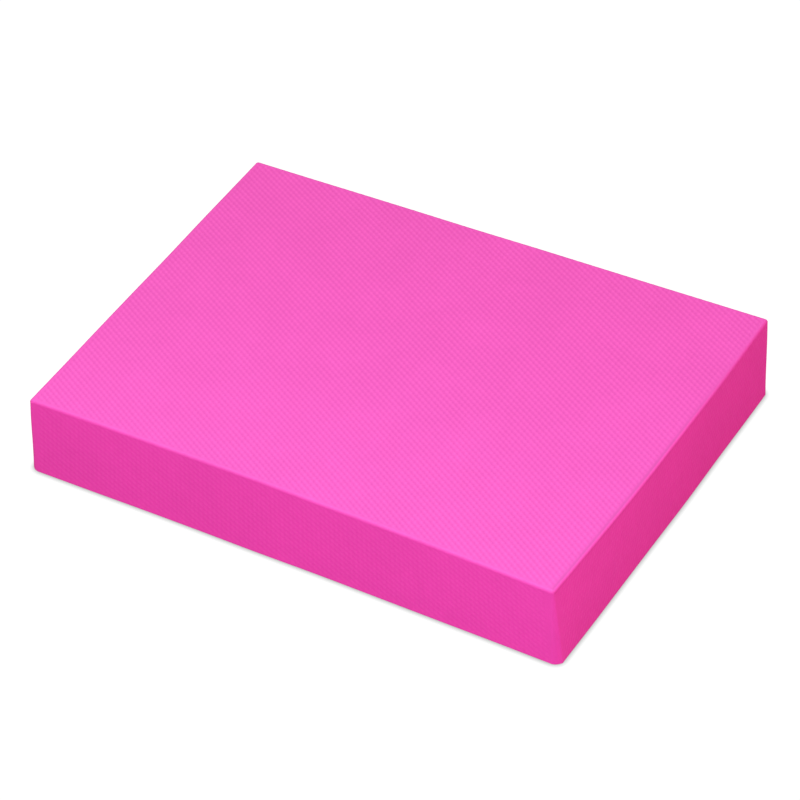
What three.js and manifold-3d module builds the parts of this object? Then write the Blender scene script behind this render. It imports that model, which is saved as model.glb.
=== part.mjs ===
// A rectangular foam balance pad. An embossed foam sheet covers the top and is folded down over
// the four sides, round a stack of glued foam sheets. A second embossed sheet closes the bottom,
// let in between the lower ends of the flaps. Millimetres, +Z up, X along the length; the origin
// is the middle of the underside.

import * as THREE from "three";
import { mergeVertices } from "three/addons/utils/BufferGeometryUtils.js";
import Module from "manifold-3d";

const wasm = await Module();
wasm.setup();

// Driving dimensions
const LENGTH = 400;
const WIDTH = 300;
const HEIGHT = 60;
const SKIN = 4; // thickness of the cover and base sheets
const CORE_COUNT = 5;
const CORE_THICKNESS = 10;
const CORNER_RADIUS = 6; // outside of the four upright corners
const FOLD_RADIUS = SKIN; // outside of the fold along the top edges: the sheet turns on a sharp core
const JOINT = 0.4; // the flaps meet with this gap at each upright corner
const ARC_STEPS = 8; // straight steps in a quarter circle

// The same thin layer of glue lies between all the sheets.
const GLUE = (HEIGHT - 2 * SKIN - CORE_COUNT * CORE_THICKNESS) / (CORE_COUNT + 1);
const INNER_LENGTH = LENGTH - 2 * SKIN;
const INNER_WIDTH = WIDTH - 2 * SKIN;
const INNER_RADIUS = CORNER_RADIUS - SKIN;

const PINK = 0xf552b8;
const DEEP_PINK = 0xe0489c;

const coverMaterial = () =>
  new THREE.MeshStandardMaterial({ color: PINK, roughness: 0.85, metalness: 0 });
const coreMaterial = () =>
  new THREE.MeshStandardMaterial({ color: DEEP_PINK, roughness: 0.95, metalness: 0 });

function roundedRectangle(length, width, radius) {
  const x = length / 2;
  const y = width / 2;
  const shape = new THREE.Shape();
  shape.moveTo(-x + radius, -y);
  shape.lineTo(x - radius, -y);
  shape.absarc(x - radius, -y + radius, radius, -Math.PI / 2, 0);
  shape.lineTo(x, y - radius);
  shape.absarc(x - radius, y - radius, radius, 0, Math.PI / 2);
  shape.lineTo(-x + radius, y);
  shape.absarc(-x + radius, y - radius, radius, Math.PI / 2, Math.PI);
  shape.lineTo(-x, -y + radius);
  shape.absarc(-x + radius, -y + radius, radius, Math.PI, 1.5 * Math.PI);
  return shape;
}

// A flat sheet with rounded corners, from bottom up to bottom + thickness.
function sheet(length, width, radius, thickness, bottom) {
  const geometry = new THREE.ExtrudeGeometry(roundedRectangle(length, width, radius), {
    depth: thickness,
    bevelEnabled: false,
    curveSegments: ARC_STEPS,
  });
  return geometry.translate(0, 0, bottom);
}

// A block whose top edges are rounded by the fold. It runs on below the floor, where it is cut off.
function foldedBlock() {
  const outline = roundedRectangle(
    LENGTH - 2 * FOLD_RADIUS,
    WIDTH - 2 * FOLD_RADIUS,
    CORNER_RADIUS - FOLD_RADIUS,
  );
  const geometry = new THREE.ExtrudeGeometry(outline, {
    depth: HEIGHT,
    bevelEnabled: true,
    bevelThickness: FOLD_RADIUS,
    bevelSize: FOLD_RADIUS,
    bevelSegments: ARC_STEPS,
    curveSegments: ARC_STEPS,
  });
  return geometry.translate(0, 0, -FOLD_RADIUS);
}

// The upright slit where two flaps meet, on the corner's diagonal, through the wall only.
function cornerSlit(signX, signY) {
  const reach = 3 * CORNER_RADIUS;
  const height = HEIGHT - SKIN + 1;
  const geometry = new THREE.BoxGeometry(reach, JOINT, height);
  geometry.rotateZ(Math.atan2(signY, signX));
  return geometry.translate(
    signX * (LENGTH / 2 - INNER_RADIUS),
    signY * (WIDTH / 2 - INNER_RADIUS),
    height / 2 - 1,
  );
}

function solid(geometry) {
  geometry.deleteAttribute("normal");
  geometry.deleteAttribute("uv");
  const merged = mergeVertices(geometry, 1e-4);
  return new wasm.Manifold(
    new wasm.Mesh({
      numProp: 3,
      vertProperties: new Float32Array(merged.attributes.position.array),
      triVerts: new Uint32Array(merged.index.array),
    }),
  );
}

function geometryOf(body) {
  const mesh = body.getMesh();
  const geometry = new THREE.BufferGeometry();
  geometry.setAttribute("position", new THREE.BufferAttribute(mesh.vertProperties, 3));
  geometry.setIndex(new THREE.BufferAttribute(mesh.triVerts, 1));
  geometry.computeVertexNormals();
  return geometry;
}

function foldedCover() {
  const depth = 4 * FOLD_RADIUS;
  const belowFloor = new THREE.BoxGeometry(2 * LENGTH, 2 * WIDTH, depth);
  belowFloor.translate(0, 0, -depth / 2);
  const room = sheet(INNER_LENGTH, INNER_WIDTH, INNER_RADIUS, HEIGHT - SKIN + depth, -depth);
  let cover = solid(foldedBlock()).subtract(solid(belowFloor)).subtract(solid(room));
  for (const signX of [-1, 1]) {
    for (const signY of [-1, 1]) {
      cover = cover.subtract(solid(cornerSlit(signX, signY)));
    }
  }
  return geometryOf(cover);
}

// A sheet that fills the room inside the cover, less the glue round its edge.
function innerSheet(thickness, bottom) {
  const length = INNER_LENGTH - 2 * GLUE;
  const width = INNER_WIDTH - 2 * GLUE;
  return sheet(length, width, INNER_RADIUS - GLUE, thickness, bottom);
}

const pad = new THREE.Group();

function add(name, geometry, material) {
  const mesh = new THREE.Mesh(geometry, material);
  mesh.name = name;
  pad.add(mesh);
}

add("cover_sheet", foldedCover(), coverMaterial());
add("base_sheet", innerSheet(SKIN, 0), coverMaterial());
for (let i = 0; i < CORE_COUNT; i++) {
  const bottom = SKIN + GLUE + i * (CORE_THICKNESS + GLUE);
  add(`core_sheet_${i + 1}`, innerSheet(CORE_THICKNESS, bottom), coreMaterial());
}

export default pad;
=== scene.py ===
"""A rectangular foam balance pad: one embossed foam sheet over the top, folded down as four
flaps round a stack of glued foam sheets, and an embossed sheet let in underneath. Metres.
"""

import math

import bpy
import numpy as np
from mathutils import Matrix, Vector
from mathutils.geometry import delaunay_2d_cdt


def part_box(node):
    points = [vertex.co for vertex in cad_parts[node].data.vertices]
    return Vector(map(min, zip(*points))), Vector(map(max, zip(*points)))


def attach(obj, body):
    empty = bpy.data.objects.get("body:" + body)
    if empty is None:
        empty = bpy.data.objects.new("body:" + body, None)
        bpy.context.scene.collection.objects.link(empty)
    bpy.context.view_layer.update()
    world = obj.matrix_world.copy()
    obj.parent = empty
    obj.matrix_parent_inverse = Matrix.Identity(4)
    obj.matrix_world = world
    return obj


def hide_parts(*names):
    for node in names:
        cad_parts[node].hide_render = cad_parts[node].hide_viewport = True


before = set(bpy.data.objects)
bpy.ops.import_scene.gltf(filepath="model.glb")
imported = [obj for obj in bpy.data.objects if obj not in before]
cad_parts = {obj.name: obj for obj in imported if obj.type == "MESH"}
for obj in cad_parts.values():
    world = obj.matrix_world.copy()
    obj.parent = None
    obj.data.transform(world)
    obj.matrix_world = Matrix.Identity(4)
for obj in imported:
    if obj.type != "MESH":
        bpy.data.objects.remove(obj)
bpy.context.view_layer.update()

MM = 0.001

# The camera, as azimuth round the pad, elevation and roll in degrees
AZIMUTH, ELEVATION, ROLL = 31.16, 40.22, -2.25
DISTANCE = 2.6588
LENS, SENSOR = 178.4, 36.0  # mm
AIM_RIGHT, AIM_UP = -2.4 * MM, 20.5 * MM  # what it looks at, from the middle of the underside

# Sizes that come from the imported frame
COVER_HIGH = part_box("cover_sheet")[1]
BASE_LOW, BASE_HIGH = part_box("base_sheet")
HALF_X, HALF_Y, HEIGHT = COVER_HIGH[0], COVER_HIGH[1], COVER_HIGH[2]
SKIN = BASE_HIGH[2] - BASE_LOW[2]
CORES = sorted(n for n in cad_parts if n.startswith("core_sheet_"))

# The fold and the corners
FOLD = 2.0 * MM  # outside radius along the creased top edges
FOLD_LENGTH = FOLD * math.pi / 2
WALL = HEIGHT - FOLD  # straight height of a flap
FLAP_LENGTH = FOLD_LENGTH + WALL
FLAP_SKIN = SKIN - 0.2 * MM  # the sheet thins a little where it is pulled down
THINNEST = 0.2 * MM  # what is left of a fold's or a corner's radius on the inside
FOOT_RADIUS = 6.5 * MM  # upright corners at the floor; at the top they are as sharp as the fold
WRAP = math.radians(50)  # how far the front and back flaps bend round each corner
BUTT = math.tan((math.pi / 2 - WRAP) / 2)  # flat run of both flaps to their joint, per radius
FLAT_X, FLAT_Y = HALF_X - FOLD, HALF_Y - FOLD
FOOT_EDGE = 0.6 * MM  # rounding of the flaps' lower edge
JOINT_GAP, JOINT_LIP, JOINT_HALF = 0.03 * MM, 0.1 * MM, 0.25 * MM  # each flap's half of a joint
JOINT_DEPTH = 0.15 * MM  # a joint is a shallow groove
BEAD, BEAD_WIDTH = 0.10 * MM, 1.0 * MM  # the fold stands a little proud of the flap under it
BEAD_AT = FOLD_LENGTH - 0.3 * MM

# The sharper welt that runs along the right-hand fold: a crease on top, a crest and a pinched line
# under it, each with its place down the fold, width and height
WELT = 0.12 * MM
WELT_LINES = ((0.0, 0.9 * MM, -1.2), (1.5 * MM, 0.6 * MM, 1.0), (3.4 * MM, 0.45 * MM, -1.0))
WELT_END = 0.9  # it fades out short of the far corner, at this share of half the width

# The emboss: a lattice of small dots in staggered rows, stronger in one row direction
DOT_PITCH = 4.0 * MM
ROW_PITCH = DOT_PITCH * math.sqrt(3) / 2
WAVE_X, WAVE_Y = math.pi / ROW_PITCH, 2 * math.pi / DOT_PITCH
RELIEF = (1.0, 0.45, 0.1)  # shares of the three crossing waves that make it up
RELIEF_DEPTH = 0.1 * MM
FLAP_RELIEF = 0.65  # the flaps are stretched as they are folded, which flattens their dots
FADE = 1.5 * MM  # the emboss fades out over this distance before an edge
FOLD_KEEP = 0.35  # how much of the emboss is left where the sheet is stretched over the fold

# The meshes
MESH_ALONG_X, MESH_ALONG_Y = ROW_PITCH / 3, DOT_PITCH / 3
ROW_MARGIN = 0.3 * MM  # least distance between the lattice's rows and the fold's or the foot's
FOLD_ROWS, BELOW_ROWS, BELOW_PITCH = 11, 6, 0.35 * MM  # rows over a fold and just under it
FOOT_ROWS = (1.0, 0.6, 0.3, 0.1, 0.0)  # rows on the rounded lower edge, in shares of it
CORNER_STEPS = 15  # lines round an upright corner
CORE_COLUMNS, CORE_ROWS = 61, 47
INNER_STEP = 12 * MM  # the hidden side of a sheet is coarse
NORMAL_STEP = 0.02 * MM  # distance over which the normals are taken

# How the soft block sits. Its corners are a little out of square, in mm at the foot and the top,
# and its front and right sides bow between them.
CORNERS = {
    (-1, -1): ((-0.8, 0.1, 0), (3.1, 2.6, 0.1)),
    (1, -1): ((-0.8, -2.2, 0), (-5.7, -0.9, 1.0)),
    (1, 1): ((-1.7, -0.2, 0), (-4.0, 0.8, 1.8)),
    (-1, 1): ((-1.0, 0.0, 0), (-1.2, -2.2, -1.9)),
}
RIGHT_TOP, RIGHT_FOOT = 2.6 * MM, 0.8 * MM  # how far the middle of a side stands out
FRONT_TOP, FRONT_FOOT = -2.6 * MM, -1.2 * MM
CROWN = 0.5 * MM  # how far the middle of the top stands up
# The slow unevenness of the faces: length in m, phase, size in mm
WAVES = ((0.113, 0.4, 0.10), (0.071, 2.1, 0.07), (0.167, 4.0, 0.13))
CROSSWISE, UPRIGHT = 0.8, 1.7  # how closely the waves lie across the pad and up its sides
SIDE_SHIFT = 50 * MM  # the front and back get other waves than the right and left


def smooth(x):
    """A smooth step from 0 to 1."""
    x = np.clip(x, 0, 1)
    return x * x * (3 - 2 * x)


def waves(u, v):
    """A slow unevenness of a fraction of a millimetre."""
    total = np.zeros(np.broadcast(u, v).shape)
    for length, phase, size in WAVES:
        k = 2 * math.pi / length
        total = total + size * MM * np.sin(k * u + phase) * np.cos(CROSSWISE * k * v - phase)
    return total


def settle(p):
    """Moves points of the ideal block to where they are in the soft, slightly bowed pad."""
    x, y, z = p[..., 0], p[..., 1], p[..., 2]
    a, b, up = x / HALF_X, y / HALF_Y, z / HEIGHT
    moved = np.array(p, float)
    for (side_x, side_y), (foot, top) in CORNERS.items():
        share = (1 + side_x * a) * (1 + side_y * b) / 4
        shift = np.array(foot) + (np.array(top) - np.array(foot)) * up[..., None]
        moved = moved + share[..., None] * shift * MM
    right, front = np.clip(a, 0, None) ** 2, np.clip(-b, 0, None) ** 2
    bow_x = right * (1 - b**2) * (RIGHT_FOOT + (RIGHT_TOP - RIGHT_FOOT) * up)
    bow_y = -front * (1 - a**2) * (FRONT_FOOT + (FRONT_TOP - FRONT_FOOT) * up)
    middle = (1 - a**2) * (1 - b**2)
    side_x = waves(y, UPRIGHT * z) * a * np.abs(a) * (1 - b**4)
    side_y = waves(x + SIDE_SHIFT, UPRIGHT * z) * b * np.abs(b) * (1 - a**4)
    rise = up * (CROWN * middle + waves(x, y) * (1 - a**8) * (1 - b**8))
    return moved + np.stack([bow_x + side_x, bow_y + side_y, rise], axis=-1)


def dots(u, v):
    """The height of the emboss at a place on the flat sheet, as three crossing rows of waves."""
    a = WAVE_X * u
    b = WAVE_Y * v
    w1, w2, w3 = RELIEF
    return w1 * np.cos(a + b) + w2 * np.cos(2 * a) + w3 * np.cos(a - b)


def welt(s, t):
    """The profile of the welt, from about -1 to 1, at s down the fold and t along it."""
    profile = sum(size * np.exp(-(((s - at) / width) ** 2)) for at, width, size in WELT_LINES)
    return profile * smooth(WELT_END - t / HALF_Y)


def top_face(x, y):
    """The top of the cover, in its place, and what its material needs to know."""
    edge = np.minimum(FLAT_X - np.abs(x), FLAT_Y - np.abs(y))
    keep = smooth(edge / FADE)
    rubbed = welt(x - FLAT_X, y)
    z = HEIGHT + RELIEF_DEPTH * dots(x, y) * keep + WELT * rubbed
    point = settle(np.stack([x, y, z], axis=-1))
    looks = {"flat_x": x, "flat_y": y, "keep": keep, "upper": np.ones(x.shape), "rubbed": rubbed}
    return point, looks


def base_face(x, y):
    """The underside, whose tips touch the floor."""
    edge = np.minimum(BASE_HIGH[0] - np.abs(x), BASE_HIGH[1] - np.abs(y))
    keep = smooth(edge / FADE)
    z = BASE_LOW[2] + RELIEF_DEPTH * (sum(RELIEF) - dots(x, y) * keep)
    point = settle(np.stack([x, y, z], axis=-1))
    return point, {"flat_x": x, "flat_y": y, "keep": keep, "upper": np.ones(x.shape)}


class Flap:
    """One side of the cover. t runs along the side and s down over the fold, on the flat sheet."""

    def __init__(self, along, out):
        self.along, self.out = np.array([*along, 0.0]), np.array([*out, 0.0])
        self.has_welt = out == (1, 0)
        size = (HALF_X, HALF_Y) if along[0] else (HALF_Y, HALF_X)
        self.half, self.reach = size
        self.straight = self.half - FOOT_RADIUS
        self.turn = WRAP if along[0] else 0.0
        self.span = FOOT_RADIUS * (self.turn + BUTT)
        self.end = self.straight + self.span

    def radius(self, s):
        """The radius of the upright corners, which is the fold's own at the top."""
        return FOLD + (FOOT_RADIUS - FOLD) * smooth((s - FOLD_LENGTH) / WALL)

    def place(self, t, s, depth):
        """Points at a depth into the sheet, normals, distances to the joint and fold angles.

        Round an upright corner a flap first runs on level, then bends by self.turn, and last
        runs straight to the joint."""
        theta = np.clip(s / FOLD, 0, math.pi / 2)
        drop = np.clip(s - FOLD_LENGTH, 0, None)
        radius = self.radius(s)
        run = np.maximum(FOOT_RADIUS - radius, 0)
        bend = radius * np.sin(theta)
        share = np.clip((np.abs(t) - self.straight) / self.span, 0, 1)
        length = run + bend * (self.turn + BUTT)
        level = np.minimum(share * length, run)
        past = (share * length - level) / np.maximum(bend, 1e-9)
        phi = np.minimum(past, self.turn)
        onward = ((past - phi) * (radius - depth) * np.sin(theta))[..., None]
        side = np.sign(t)
        phi = (side * phi)[..., None]
        normal = (self.out * np.cos(phi) + self.along * np.sin(phi)) * np.sin(theta)[..., None]
        normal[..., 2] += np.cos(theta)
        start = np.where(share > 0, side * (self.straight + level), t)[..., None]
        centre = self.along * start + self.out * (self.reach - radius)[..., None]
        heading = self.along * side[..., None] * np.cos(phi) - self.out * np.sin(np.abs(phi))
        centre = centre + onward * heading
        centre[..., 2] += HEIGHT - FOLD - drop
        to_joint = (1 - share) * length
        return centre + normal * (radius - depth)[..., None], normal, to_joint, theta

    def surface(self, t, s):
        """The embossed outside, and what its material needs to know."""
        flat = self.along * t[..., None] + self.out * (self.reach - FOLD + s)[..., None]
        point, normal, to_joint, theta = self.place(t, s, np.zeros(s.shape))
        keep = smooth(s / FADE) * smooth((self.straight - np.abs(t)) / FADE)
        keep = keep * (FOLD_KEEP + (1 - FOLD_KEEP) * smooth((s - FOLD_LENGTH) / FADE))
        keep = keep * smooth((FLAP_LENGTH - s) / FADE)
        proud = FLAP_RELIEF * RELIEF_DEPTH * dots(flat[..., 0], flat[..., 1]) * keep
        proud = proud + BEAD * np.exp(-(((s - BEAD_AT) / BEAD_WIDTH) ** 2))
        rubbed = welt(s, t) if self.has_welt else np.zeros(s.shape)
        proud = proud + WELT * rubbed
        groove = np.clip(1 - to_joint / JOINT_HALF, 0, 1) * smooth(2 * theta)
        proud = proud - JOINT_DEPTH * groove
        foot = np.clip(FOOT_EDGE - (FLAP_LENGTH - s), 0, FOOT_EDGE)
        proud = proud - (FOOT_EDGE - np.sqrt(FOOT_EDGE**2 - foot**2))
        upper = 1 - smooth(theta / (math.pi / 2))
        looks = {"flat_x": flat[..., 0], "flat_y": flat[..., 1], "keep": keep}
        looks.update({"upper": upper, "rubbed": rubbed})
        return settle(point + normal * proud[..., None]), looks

    def inside(self, t, s):
        """The side that is bonded to the core."""
        depth = np.minimum(FLAP_SKIN, self.radius(s) - THINNEST)
        return settle(self.place(t, s, depth)[0])


def lattice_lines(half, pitch, shift):
    """Places along a line at which the mesh meets the lattice, inside plus and minus half."""
    count = int(half / pitch) + 1
    places = (np.arange(-count, count + 1) + shift / 2) * pitch
    return places[np.abs(places) < half - 0.25 * pitch]


def padded_lines(even, odd):
    """Two lists of places made as long as each other, by repeating the last place."""
    size = max(len(even), len(odd))
    return [np.append(x, np.full(size - len(x), x[-1])) for x in (even, odd)]


def grid(lines, parity, rows):
    """A triangle mesh over a grid: line k has the points of rows[parity[k]]."""
    rows = padded_lines(*rows)
    first = np.repeat(np.array(lines)[:, None], len(rows[0]), axis=1)
    second = np.stack([rows[p] for p in parity])
    same = np.concatenate([np.zeros((len(lines), 1), bool), np.diff(second, axis=1) < 1e-9], 1)
    ids = np.arange(first.size).reshape(first.shape)
    for j in range(1, ids.shape[1]):
        ids[:, j] = np.where(same[:, j], ids[:, j - 1], ids[:, j])
    a, b, c, d = ids[:-1, :-1], ids[1:, :-1], ids[1:, 1:], ids[:-1, 1:]
    rising = (np.array(parity[:-1]) <= np.array(parity[1:]))[:, None]
    one = np.stack([a, b, np.where(rising, d, c)], -1).reshape(-1, 3)
    two = np.stack([np.where(rising, b, a), c, d], -1).reshape(-1, 3)
    faces = np.concatenate([one, two])
    distinct = (faces[:, 0] != faces[:, 1]) & (faces[:, 1] != faces[:, 2])
    faces = faces[distinct & (faces[:, 0] != faces[:, 2])]
    loop = [*ids[:, 0], *ids[-1, 1:], *ids[-2::-1, -1], *ids[0, -2:0:-1]]
    loop = [v for i, v in enumerate(loop) if v != loop[i - 1]]
    return first.ravel(), second.ravel(), faces, loop


def inner_net(u, v):
    """Triangles over the outline u, v with a coarse net of points inside it."""
    outline = [Vector(p) for p in zip(u, v)]
    low, high = (min(u), min(v)), (max(u), max(v))
    counts = [max(2, round((high[i] - low[i]) / INNER_STEP)) for i in range(2)]
    inner = [
        Vector((low[0] + (high[0] - low[0]) * i / counts[0], low[1] + (high[1] - low[1]) * j / counts[1]))
        for i in range(1, counts[0])
        for j in range(1, counts[1])
    ]
    edges = [(i, (i + 1) % len(outline)) for i in range(len(outline))]
    points, _, faces, origins, _, _ = delaunay_2d_cdt(outline + inner, edges, [], 1, 1e-9)
    order = {o: i for i, found in enumerate(origins) for o in found}
    return np.array(points), faces, [order[i] for i in range(len(outline))]


def normals_of(surface, u, v, facing):
    """Unit normals of a surface, by small differences, on the side that facing points to."""
    du = surface(u + NORMAL_STEP, v)[0] - surface(u - NORMAL_STEP, v)[0]
    dv = surface(u, v + NORMAL_STEP)[0] - surface(u, v - NORMAL_STEP)[0]
    normal = np.cross(du, dv)
    normal /= np.linalg.norm(normal, axis=-1)[..., None]
    return normal * np.sign((normal * facing).sum(-1))[..., None]


def closed_piece(name, surface, inside, net, facing):
    """A closed solid with a fine outside, a coarse inside and a wall between their outlines."""
    u, v, faces, loop = net
    outer, looks = surface(u, v)
    normal = normals_of(surface, u, v, facing(u, v))
    points, inner_faces, rim = inner_net(u[loop], v[loop])
    inner = inside(points[:, 0], points[:, 1])
    shift = len(outer)
    rim = [shift + i for i in rim]
    wall = []
    for i, a in enumerate(loop):
        j = (i + 1) % len(loop)
        wall += [(a, rim[j], loop[j]), (a, rim[i], rim[j])]
    inner_faces = [tuple(shift + i for i in reversed(f)) for f in inner_faces]
    used = np.unique(np.concatenate([faces.ravel(), loop]))
    keep = np.full(shift + len(inner), -1)
    keep[used] = np.arange(len(used))
    keep[shift:] = len(used) + np.arange(len(inner))
    verts = np.concatenate([outer[used], inner])
    all_faces = [tuple(f) for f in keep[faces]] + [
        tuple(int(keep[i]) for i in f) for f in [*wall, *inner_faces]
    ]
    mesh = bpy.data.meshes.new(name)
    mesh.from_pydata([tuple(p) for p in verts], [], all_faces)
    mesh.update()
    orient(mesh, normal[used], len(faces))
    for what, values in looks.items():
        store(mesh, what, np.concatenate([values[used], np.zeros(len(inner))]))
    piece = bpy.data.objects.new(name, mesh)
    bpy.context.scene.collection.objects.link(piece)
    return piece


def orient(mesh, normal, fine):
    """Turns all faces outwards and gives the fine side its exact normals."""
    polygons = mesh.polygons
    first = np.array(polygons[0].normal)
    if first @ normal[polygons[0].vertices[0]] < 0:
        mesh.flip_normals()
    corners = np.zeros(len(mesh.loops), np.int32)
    mesh.loops.foreach_get("vertex_index", corners)
    flat = np.zeros((len(polygons), 3), np.float32)
    polygons.foreach_get("normal", flat.ravel())
    loops = np.repeat(flat, 3, axis=0)
    loops[: 3 * fine] = normal[corners[: 3 * fine]]
    mesh.normals_split_custom_set(loops.tolist())


def store(mesh, name, values):
    """Keeps a value at each vertex, for the material."""
    attribute = mesh.attributes.new(name, "FLOAT", "POINT")
    attribute.data.foreach_set("value", np.asarray(values, np.float32))


def upward(u, v):
    return np.array([0.0, 0.0, 1.0])


def panel_net(half_x, half_y):
    """A flat rectangle, with its lines in step with the lattice."""
    columns = lattice_lines(half_x, MESH_ALONG_X, 0)
    parity = [round(x / MESH_ALONG_X) % 2 for x in columns]
    rows = [
        np.concatenate([[-half_y], lattice_lines(half_y, MESH_ALONG_Y, odd), [half_y]])
        for odd in (0, 1)
    ]
    return grid([-half_x, *columns, half_x], [0, *parity, 0], rows)


def flap_corner(flap):
    """Places along a flap past the straight part, closer together at the joint."""
    last = flap.end - JOINT_GAP
    near = [last - JOINT_HALF, last - JOINT_LIP, last]
    arc = np.linspace(flap.straight - FADE, last - 2 * JOINT_HALF, CORNER_STEPS)
    return np.concatenate([arc, near])


def flap_rows():
    """The rows over the fold and just under it, and those on the rounded lower edge."""
    below = FOLD_LENGTH + BELOW_PITCH * np.arange(1, BELOW_ROWS + 1)
    fold = np.concatenate([np.linspace(0, FOLD_LENGTH, FOLD_ROWS), below])
    foot = FLAP_LENGTH - FOOT_EDGE * np.array(FOOT_ROWS)
    return fold, foot


def long_flap_net(flap):
    """The front and back flaps: lines down the flap, each in step with a row of the lattice."""
    corner = flap_corner(flap)
    columns = lattice_lines(corner[0], MESH_ALONG_X, 0)
    parity = [round(x / MESH_ALONG_X) % 2 for x in columns]
    fold, foot = flap_rows()
    start = fold[-1] + ROW_MARGIN
    stop = foot[0] - ROW_MARGIN
    rows = []
    for odd in (0, 1):
        phase = (odd * 0.5 * MESH_ALONG_Y - (flap.reach - FOLD)) % MESH_ALONG_Y
        first = math.ceil((start - phase) / MESH_ALONG_Y)
        last = math.floor((stop - phase) / MESH_ALONG_Y)
        middle = phase + np.arange(first, last + 1) * MESH_ALONG_Y
        rows.append(np.concatenate([fold, middle, foot]))
    lines = [*-corner[::-1], *columns, *corner]
    parity = [0] * len(corner) + parity + [0] * len(corner)
    return grid(lines, parity, rows)


def short_flap_net(flap):
    """The left and right flaps: lines along the flap, each in step with a row of the lattice."""
    corner = flap_corner(flap)
    fold, foot = flap_rows()
    start = flap.reach - FOLD
    first = math.ceil((start + fold[-1] + ROW_MARGIN) / MESH_ALONG_X)
    last = math.floor((start + foot[0] - ROW_MARGIN) / MESH_ALONG_X)
    steps = np.arange(first, last + 1)
    lines = np.concatenate([fold, steps * MESH_ALONG_X - start, foot])
    parity = [0] * len(fold) + [int(i) % 2 for i in steps] + [0] * len(foot)
    rows = [
        np.concatenate([-corner[::-1], lattice_lines(corner[0], MESH_ALONG_Y, odd), corner])
        for odd in (0, 1)
    ]
    s, t, faces, loop = grid(lines, parity, rows)
    return t, s, faces[:, ::-1], loop[::-1]


# ---- materials ----

NOISE_LOW, NOISE_HIGH = 0.3, 0.7  # most of a noise lies between these


class Nodes:
    """A short way to write a material's nodes."""

    def __init__(self, name):
        self.material = bpy.data.materials.new(name)
        self.material.use_nodes = True
        self.tree = self.material.node_tree
        self.shader = self.tree.nodes["Principled BSDF"]

    def link(self, source, target):
        self.tree.links.new(source, target)
        return source

    def put(self, socket, value):
        if isinstance(value, bpy.types.NodeSocket):
            self.link(value, socket)
        elif value is not None:
            socket.default_value = value

    def add(self, kind, settings=(), inputs=()):
        node = self.tree.nodes.new(kind)
        for key, value in dict(settings).items():
            setattr(node, key, value)
        for key, value in dict(inputs).items():
            self.put(node.inputs[key], value)
        return node

    def place(self):
        return self.add("ShaderNodeTexCoord").outputs["Object"]

    def attribute(self, name):
        return self.add("ShaderNodeAttribute", {"attribute_name": name}).outputs["Fac"]

    def noise(self, size, detail=3.0, rough=0.5):
        inputs = {"Vector": self.place(), "Scale": 1 / size, "Detail": detail, "Roughness": rough}
        return self.add("ShaderNodeTexNoise", (), inputs).outputs["Fac"]

    def uneven(self, low, high, *noise):
        """Values that wander between about low and high."""
        return self.ramp(self.noise(*noise), NOISE_LOW, NOISE_HIGH, low, high)

    def cells(self, size):
        inputs = {"Vector": self.place(), "Scale": 1 / size}
        return self.add("ShaderNodeTexVoronoi", (), inputs).outputs["Distance"]

    def ramp(self, value, low, high, to_low=0.0, to_high=1.0):
        inputs = {"Value": value, "From Min": low, "From Max": high}
        inputs.update({"To Min": to_low, "To Max": to_high})
        return self.add("ShaderNodeMapRange", (), inputs).outputs["Result"]

    def math(self, operation, a, b=None):
        return self.add("ShaderNodeMath", {"operation": operation}, {0: a, 1: b}).outputs[0]

    def mix(self, factor, a, b, blend="MIX"):
        node = self.add("ShaderNodeMix", {"data_type": "RGBA", "blend_type": blend})
        self.put(node.inputs["Factor"], factor)
        self.put(node.inputs["A"], a)
        self.put(node.inputs["B"], b)
        return node.outputs["Result"]

    def scale_colour(self, colour, amount):
        """The colour times a grey amount."""
        grey = self.add("ShaderNodeCombineColor", (), {0: amount, 1: amount, 2: amount}).outputs[0]
        return self.mix(1.0, colour, grey, "MULTIPLY")

    def bump(self, height, distance, strength=1.0, normal=None):
        inputs = {"Height": height, "Distance": distance, "Strength": strength, "Normal": normal}
        return self.add("ShaderNodeBump", (), inputs).outputs["Normal"]


# One skin's pink, painted lighter and paler on the top and deeper on the sides: painted light and shade
# for the stronger light on the top
LIT_TOP_PINK = (0.784, 0.112, 0.503, 1)
SHADED_SIDE_PINK = (0.613, 0.0270, 0.282, 1)
CORE_PINK = (0.72, 0.060, 0.300, 1)
WHITE = (1, 1, 1, 1)
TIP_PAINTED_LIGHT, TIP_PAINTED_SHEEN = 0.056, 0.0130  # painted light on the dots' tips and painted shade in their valleys, and a painted sheen that whitens the tips
SIDE_TIP_PAINT = 0.22  # the share of that painted light, shade and sheen on the flaps
WELT_SHADE = 0.14  # painted highlight on the welt's crest and painted shade in its crease and pinched line
# The unevenness of the skin's colour, from mottling to grain: amount, size, detail, roughness
MOTTLING = ((0.018, 45 * MM, 2.0, 0.5), (0.012, 7 * MM, 3.0, 0.5), (0.015, 0.7 * MM, 4.0, 0.6))
VALLEY_ROUGH, TIP_ROUGH, ROUGH_SPREAD = 0.86, 0.70, 0.05
GRAIN, SKIN_CELL, OPEN_CELL = 0.45 * MM, 0.9 * MM, 0.9 * MM  # sizes in the finest relief


def dots_seen(n):
    """The emboss again, for the material: from about -1 in the valleys to 1 on the tips."""
    a = n.math("MULTIPLY", n.attribute("flat_x"), WAVE_X)
    b = n.math("MULTIPLY", n.attribute("flat_y"), WAVE_Y)
    phases = n.math("ADD", a, b), n.math("MULTIPLY", a, 2.0), n.math("SUBTRACT", a, b)
    total = 0.0
    for phase, share in zip(phases, RELIEF):
        wave = n.math("MULTIPLY", n.math("COSINE", phase), share / sum(RELIEF))
        total = n.math("ADD", wave, total)
    return n.math("MULTIPLY", total, n.attribute("keep"))


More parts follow.
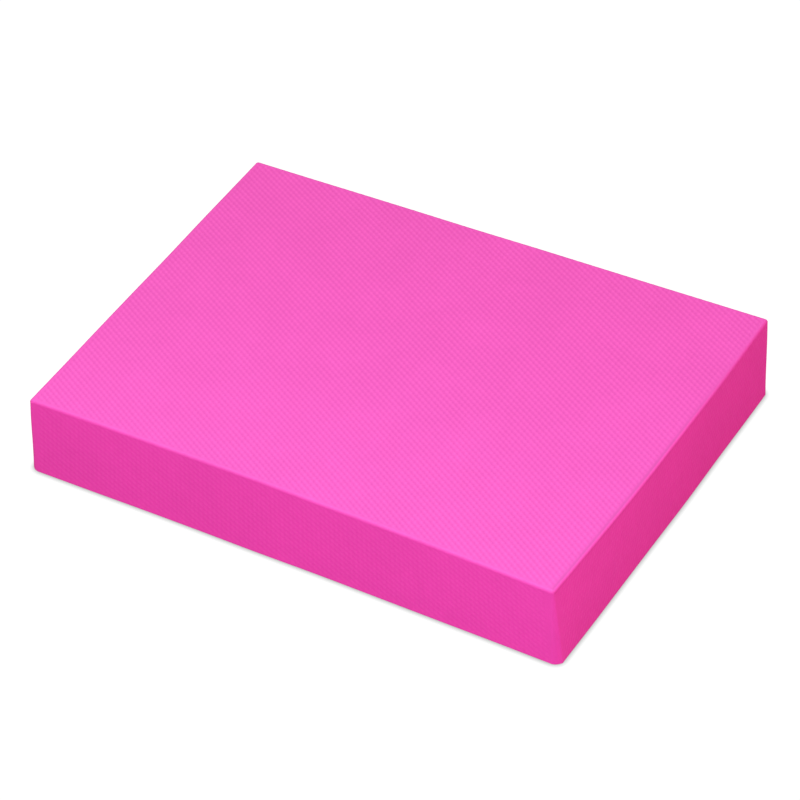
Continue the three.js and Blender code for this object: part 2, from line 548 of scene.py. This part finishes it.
def embossed_skin(name):
    """The moulded skin of the foam: satin tips, matt valleys, fine grain, slow mottling, painted light.
    """
    n = Nodes(name)
    upper, emboss = n.attribute("upper"), dots_seen(n)
    # painted light and shade of the emboss and a painted sheen on its tips, weaker on the flaps
    tips = n.math("MULTIPLY", emboss, n.ramp(upper, 0.0, 1.0, SIDE_TIP_PAINT, 1.0))
    # painted light and shade: the top gets the lighter, paler pink and the sides the deeper one, blending
    # over the fold
    colour = n.mix(upper, SHADED_SIDE_PINK, LIT_TOP_PINK)
    colour = n.mix(n.ramp(tips, -1, 1, 0, 2 * TIP_PAINTED_SHEEN), colour, WHITE)
    amount = n.ramp(tips, -1, 1, 1 - TIP_PAINTED_LIGHT, 1 + TIP_PAINTED_LIGHT)
    for spread, *noise in MOTTLING:
        amount = n.math("MULTIPLY", amount, n.uneven(1 - spread, 1 + spread, *noise))
    # the welt's profile as painted light and shade: a painted highlight on the crest, painted shade in
    # the crease and pinched line
    rubbed = n.ramp(n.attribute("rubbed"), -1, 1, 1 - WELT_SHADE, 1 + WELT_SHADE)
    amount = n.math("MULTIPLY", amount, rubbed)
    n.put(n.shader.inputs["Base Color"], n.scale_colour(colour, amount))
    rough = n.ramp(emboss, -0.5, 1.0, VALLEY_ROUGH, TIP_ROUGH)
    rough = n.math("ADD", rough, n.uneven(-ROUGH_SPREAD, ROUGH_SPREAD, 3 * MM, 4.0))
    n.put(n.shader.inputs["Roughness"], rough)
    fine = n.bump(n.noise(GRAIN, 3.0, 0.6), 0.012 * MM, 0.6)
    n.put(n.shader.inputs["Normal"], n.bump(n.cells(SKIN_CELL), 0.01 * MM, 0.4, fine))
    n.shader.inputs["Specular IOR Level"].default_value = 0.18
    n.shader.inputs["IOR"].default_value = 1.45
    return n.material


def cut_foam(name):
    """The inside foam, with its cells open on the cut faces."""
    n = Nodes(name)
    cells = n.cells(OPEN_CELL)
    wall = n.ramp(cells, 0.1, 0.6, 1.05, 0.85)
    amount = n.math("MULTIPLY", wall, n.uneven(0.94, 1.06, 20 * MM, 3.0))
    n.put(n.shader.inputs["Base Color"], n.scale_colour(CORE_PINK, amount))
    n.put(n.shader.inputs["Roughness"], n.uneven(0.85, 0.97, 2 * MM))
    small = n.bump(n.noise(0.3 * MM, 4.0), 0.03 * MM, 0.6)
    n.put(n.shader.inputs["Normal"], n.bump(cells, 0.12 * MM, 0.8, small))
    n.shader.inputs["Specular IOR Level"].default_value = 0.15
    return n.material


# ---- the pieces ----

SKIN_MATERIAL = embossed_skin("embossed_foam_skin")
CORE_MATERIAL = cut_foam("cut_foam")


def finish_piece(piece, node, material):
    piece.data.materials.append(material)
    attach(piece, "root")
    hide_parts(node)


def make_cover():
    """The top and the four flaps, which together stand for the CAD's one cover sheet."""
    top = closed_piece(
        "cover_top",
        top_face,
        lambda x, y: settle(np.stack([x, y, np.full(x.shape, HEIGHT - SKIN)], -1)),
        panel_net(FLAT_X, FLAT_Y),
        upward,
    )
    finish_piece(top, "cover_sheet", SKIN_MATERIAL)
    sides = {
        "front": ((1, 0), (0, -1)),
        "right": ((0, 1), (1, 0)),
        "back": ((-1, 0), (0, 1)),
        "left": ((0, -1), (-1, 0)),
    }
    for side, (along, out) in sides.items():
        flap = Flap(along, out)
        net = long_flap_net(flap) if along[0] else short_flap_net(flap)
        piece = closed_piece(
            f"cover_{side}",
            flap.surface,
            flap.inside,
            net,
            lambda t, s, flap=flap: flap.place(t, s, np.zeros(s.shape))[1],
        )
        finish_piece(piece, "cover_sheet", SKIN_MATERIAL)


def make_base():
    """The embossed sheet underneath, between the flaps' lower ends."""
    half_x, half_y = BASE_HIGH[0], BASE_HIGH[1]
    base = closed_piece(
        "base",
        base_face,
        lambda x, y: settle(np.stack([x, y, np.full(x.shape, BASE_HIGH[2])], -1)),
        panel_net(half_x, half_y),
        lambda u, v: -upward(u, v),
    )
    finish_piece(base, "base_sheet", SKIN_MATERIAL)


def make_cores():
    """The glued sheets inside, each moved with the block round it."""
    for node in CORES:
        low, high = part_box(node)
        half_x, half_y = high[0], high[1]
        columns = np.linspace(-half_x, half_x, CORE_COLUMNS)
        rows = np.linspace(-half_y, half_y, CORE_ROWS)
        core = closed_piece(
            node.replace("sheet", "layer"),
            lambda x, y, z=high[2]: (settle(np.stack([x, y, np.full(x.shape, z)], -1)), {}),
            lambda x, y, z=low[2]: settle(np.stack([x, y, np.full(x.shape, z)], -1)),
            grid(columns, [0] * len(columns), [rows, rows]),
            upward,
        )
        finish_piece(core, node, CORE_MATERIAL)


# ---- stage, light and camera ----

FLOOR_SIZE = 40
FLOOR_GREY = (0.6, 0.6, 0.6, 1)
FLOOR_GLOW = 1.05  # just past white
CONTACT, SHADE = 4.5 * MM, 0.45  # how far from the pad its contact shadow reaches, and how dark
SHADE_FALLOFF, SHADE_SAMPLES = 1.3, 16

# Soft lamps: direction, distance, diameter, watts, colour
LAMPS = {
    "key": ((-0.5, -0.6, 0.62), 1.8, 0.8, 12.0, (0.96, 1.05, 0.98)),
    "front": ((0.12, -0.75, 0.65), 0.9, 0.5, 1.34, (0.64, 1.29, 1.36)),
    "right": ((0.93, 0.25, 0.27), 1.3, 0.8, 2.23, (1.65, 0.77, 0.78)),
    "corner": ((0.62, -0.62, 0.48), 1.3, 0.8, 6.8, (0.94, 1.0, 1.07)),
    "back": ((-0.5, 0.85, 0.2), 1.3, 0.8, 2.2, (1.3, 0.75, 0.95)),
}
ROOM_LIGHT, ROOM_COLOUR = 0.70, (1.0, 0.56, 0.755, 1)


def make_floor():
    """A plain pale floor. The camera sees it evenly white but for a contact shadow painted into its glow.
    """
    bpy.ops.mesh.primitive_plane_add(size=FLOOR_SIZE, location=(0, 0, 0))
    floor = bpy.context.object
    floor.name = "floor"
    n = Nodes("pale_floor")
    n.shader.inputs["Base Color"].default_value = FLOOR_GREY
    n.shader.inputs["Roughness"].default_value = 1.0
    n.shader.inputs["Specular IOR Level"].default_value = 0.0
    closeness = n.add("ShaderNodeAmbientOcclusion", {"samples": SHADE_SAMPLES}, {"Distance": CONTACT})
    # painted contact shadow: the glow the camera sees is darkened near the pad by ambient occlusion, not
    # by the lamps' shadows
    near = n.ramp(closeness.outputs["AO"], 0.5, 1.0, 1.0, 0.0)
    near = n.math("POWER", near, SHADE_FALLOFF)
    glow = n.add("ShaderNodeEmission", (), {"Strength": n.ramp(near, 0, 1, FLOOR_GLOW, 1 - SHADE)})
    seen = n.add("ShaderNodeLightPath").outputs["Is Camera Ray"]
    either = n.add("ShaderNodeMixShader", (), {0: seen, 1: n.shader.outputs[0], 2: glow.outputs[0]})
    n.link(either.outputs[0], n.tree.nodes["Material Output"].inputs["Surface"])
    floor.data.materials.append(n.material)


def light(name, direction, distance, size, power, colour):
    """A round soft lamp that points at the pad's foot."""
    data = bpy.data.lights.new(name, "AREA")
    data.shape, data.size = "DISK", size
    data.energy, data.color = power, colour
    lamp = bpy.data.objects.new(name, data)
    direction = Vector(direction).normalized()
    lamp.location = direction * distance
    lamp.rotation_euler = direction.to_track_quat("Z", "Y").to_euler()
    bpy.context.scene.collection.objects.link(lamp)


def make_light():
    """The room's soft light and the lamps. The camera sees the room white."""
    world = bpy.data.worlds.new("studio")
    world.use_nodes = True
    tree = world.node_tree
    room = tree.nodes["Background"]
    room.inputs["Strength"].default_value = ROOM_LIGHT
    seen = tree.nodes.new("ShaderNodeBackground")
    seen.inputs["Color"].default_value = WHITE
    room.inputs["Color"].default_value = ROOM_COLOUR
    path = tree.nodes.new("ShaderNodeLightPath")
    mix = tree.nodes.new("ShaderNodeMixShader")
    tree.links.new(path.outputs["Is Camera Ray"], mix.inputs[0])
    tree.links.new(room.outputs[0], mix.inputs[1])
    tree.links.new(seen.outputs[0], mix.inputs[2])
    tree.links.new(mix.outputs[0], tree.nodes["World Output"].inputs["Surface"])
    bpy.context.scene.world = world
    for name, lamp in LAMPS.items():
        light(name, *lamp)
    bpy.context.scene.view_settings.view_transform = "Standard"


def make_camera():
    """The photo's viewing angle, without shift or depth of field."""
    a, e, r = (math.radians(x) for x in (AZIMUTH, ELEVATION, ROLL))
    back = Vector((math.sin(a) * math.cos(e), -math.cos(a) * math.cos(e), math.sin(e)))
    right = Vector((0, 0, 1)).cross(back).normalized()
    up = back.cross(right)
    right, up = (
        right * math.cos(r) + up * math.sin(r),
        up * math.cos(r) - right * math.sin(r),
    )
    place = right * AIM_RIGHT + up * AIM_UP + back * DISTANCE
    data = bpy.data.cameras.new("camera")
    data.lens, data.sensor_width = LENS, SENSOR
    camera = bpy.data.objects.new("camera", data)
    camera.matrix_world = Matrix.Translation(place) @ Matrix((right, up, back)).transposed().to_4x4()
    bpy.context.scene.collection.objects.link(camera)
    bpy.context.scene.camera = camera


make_camera()
make_cover()
make_base()
make_cores()
make_floor()
make_light()
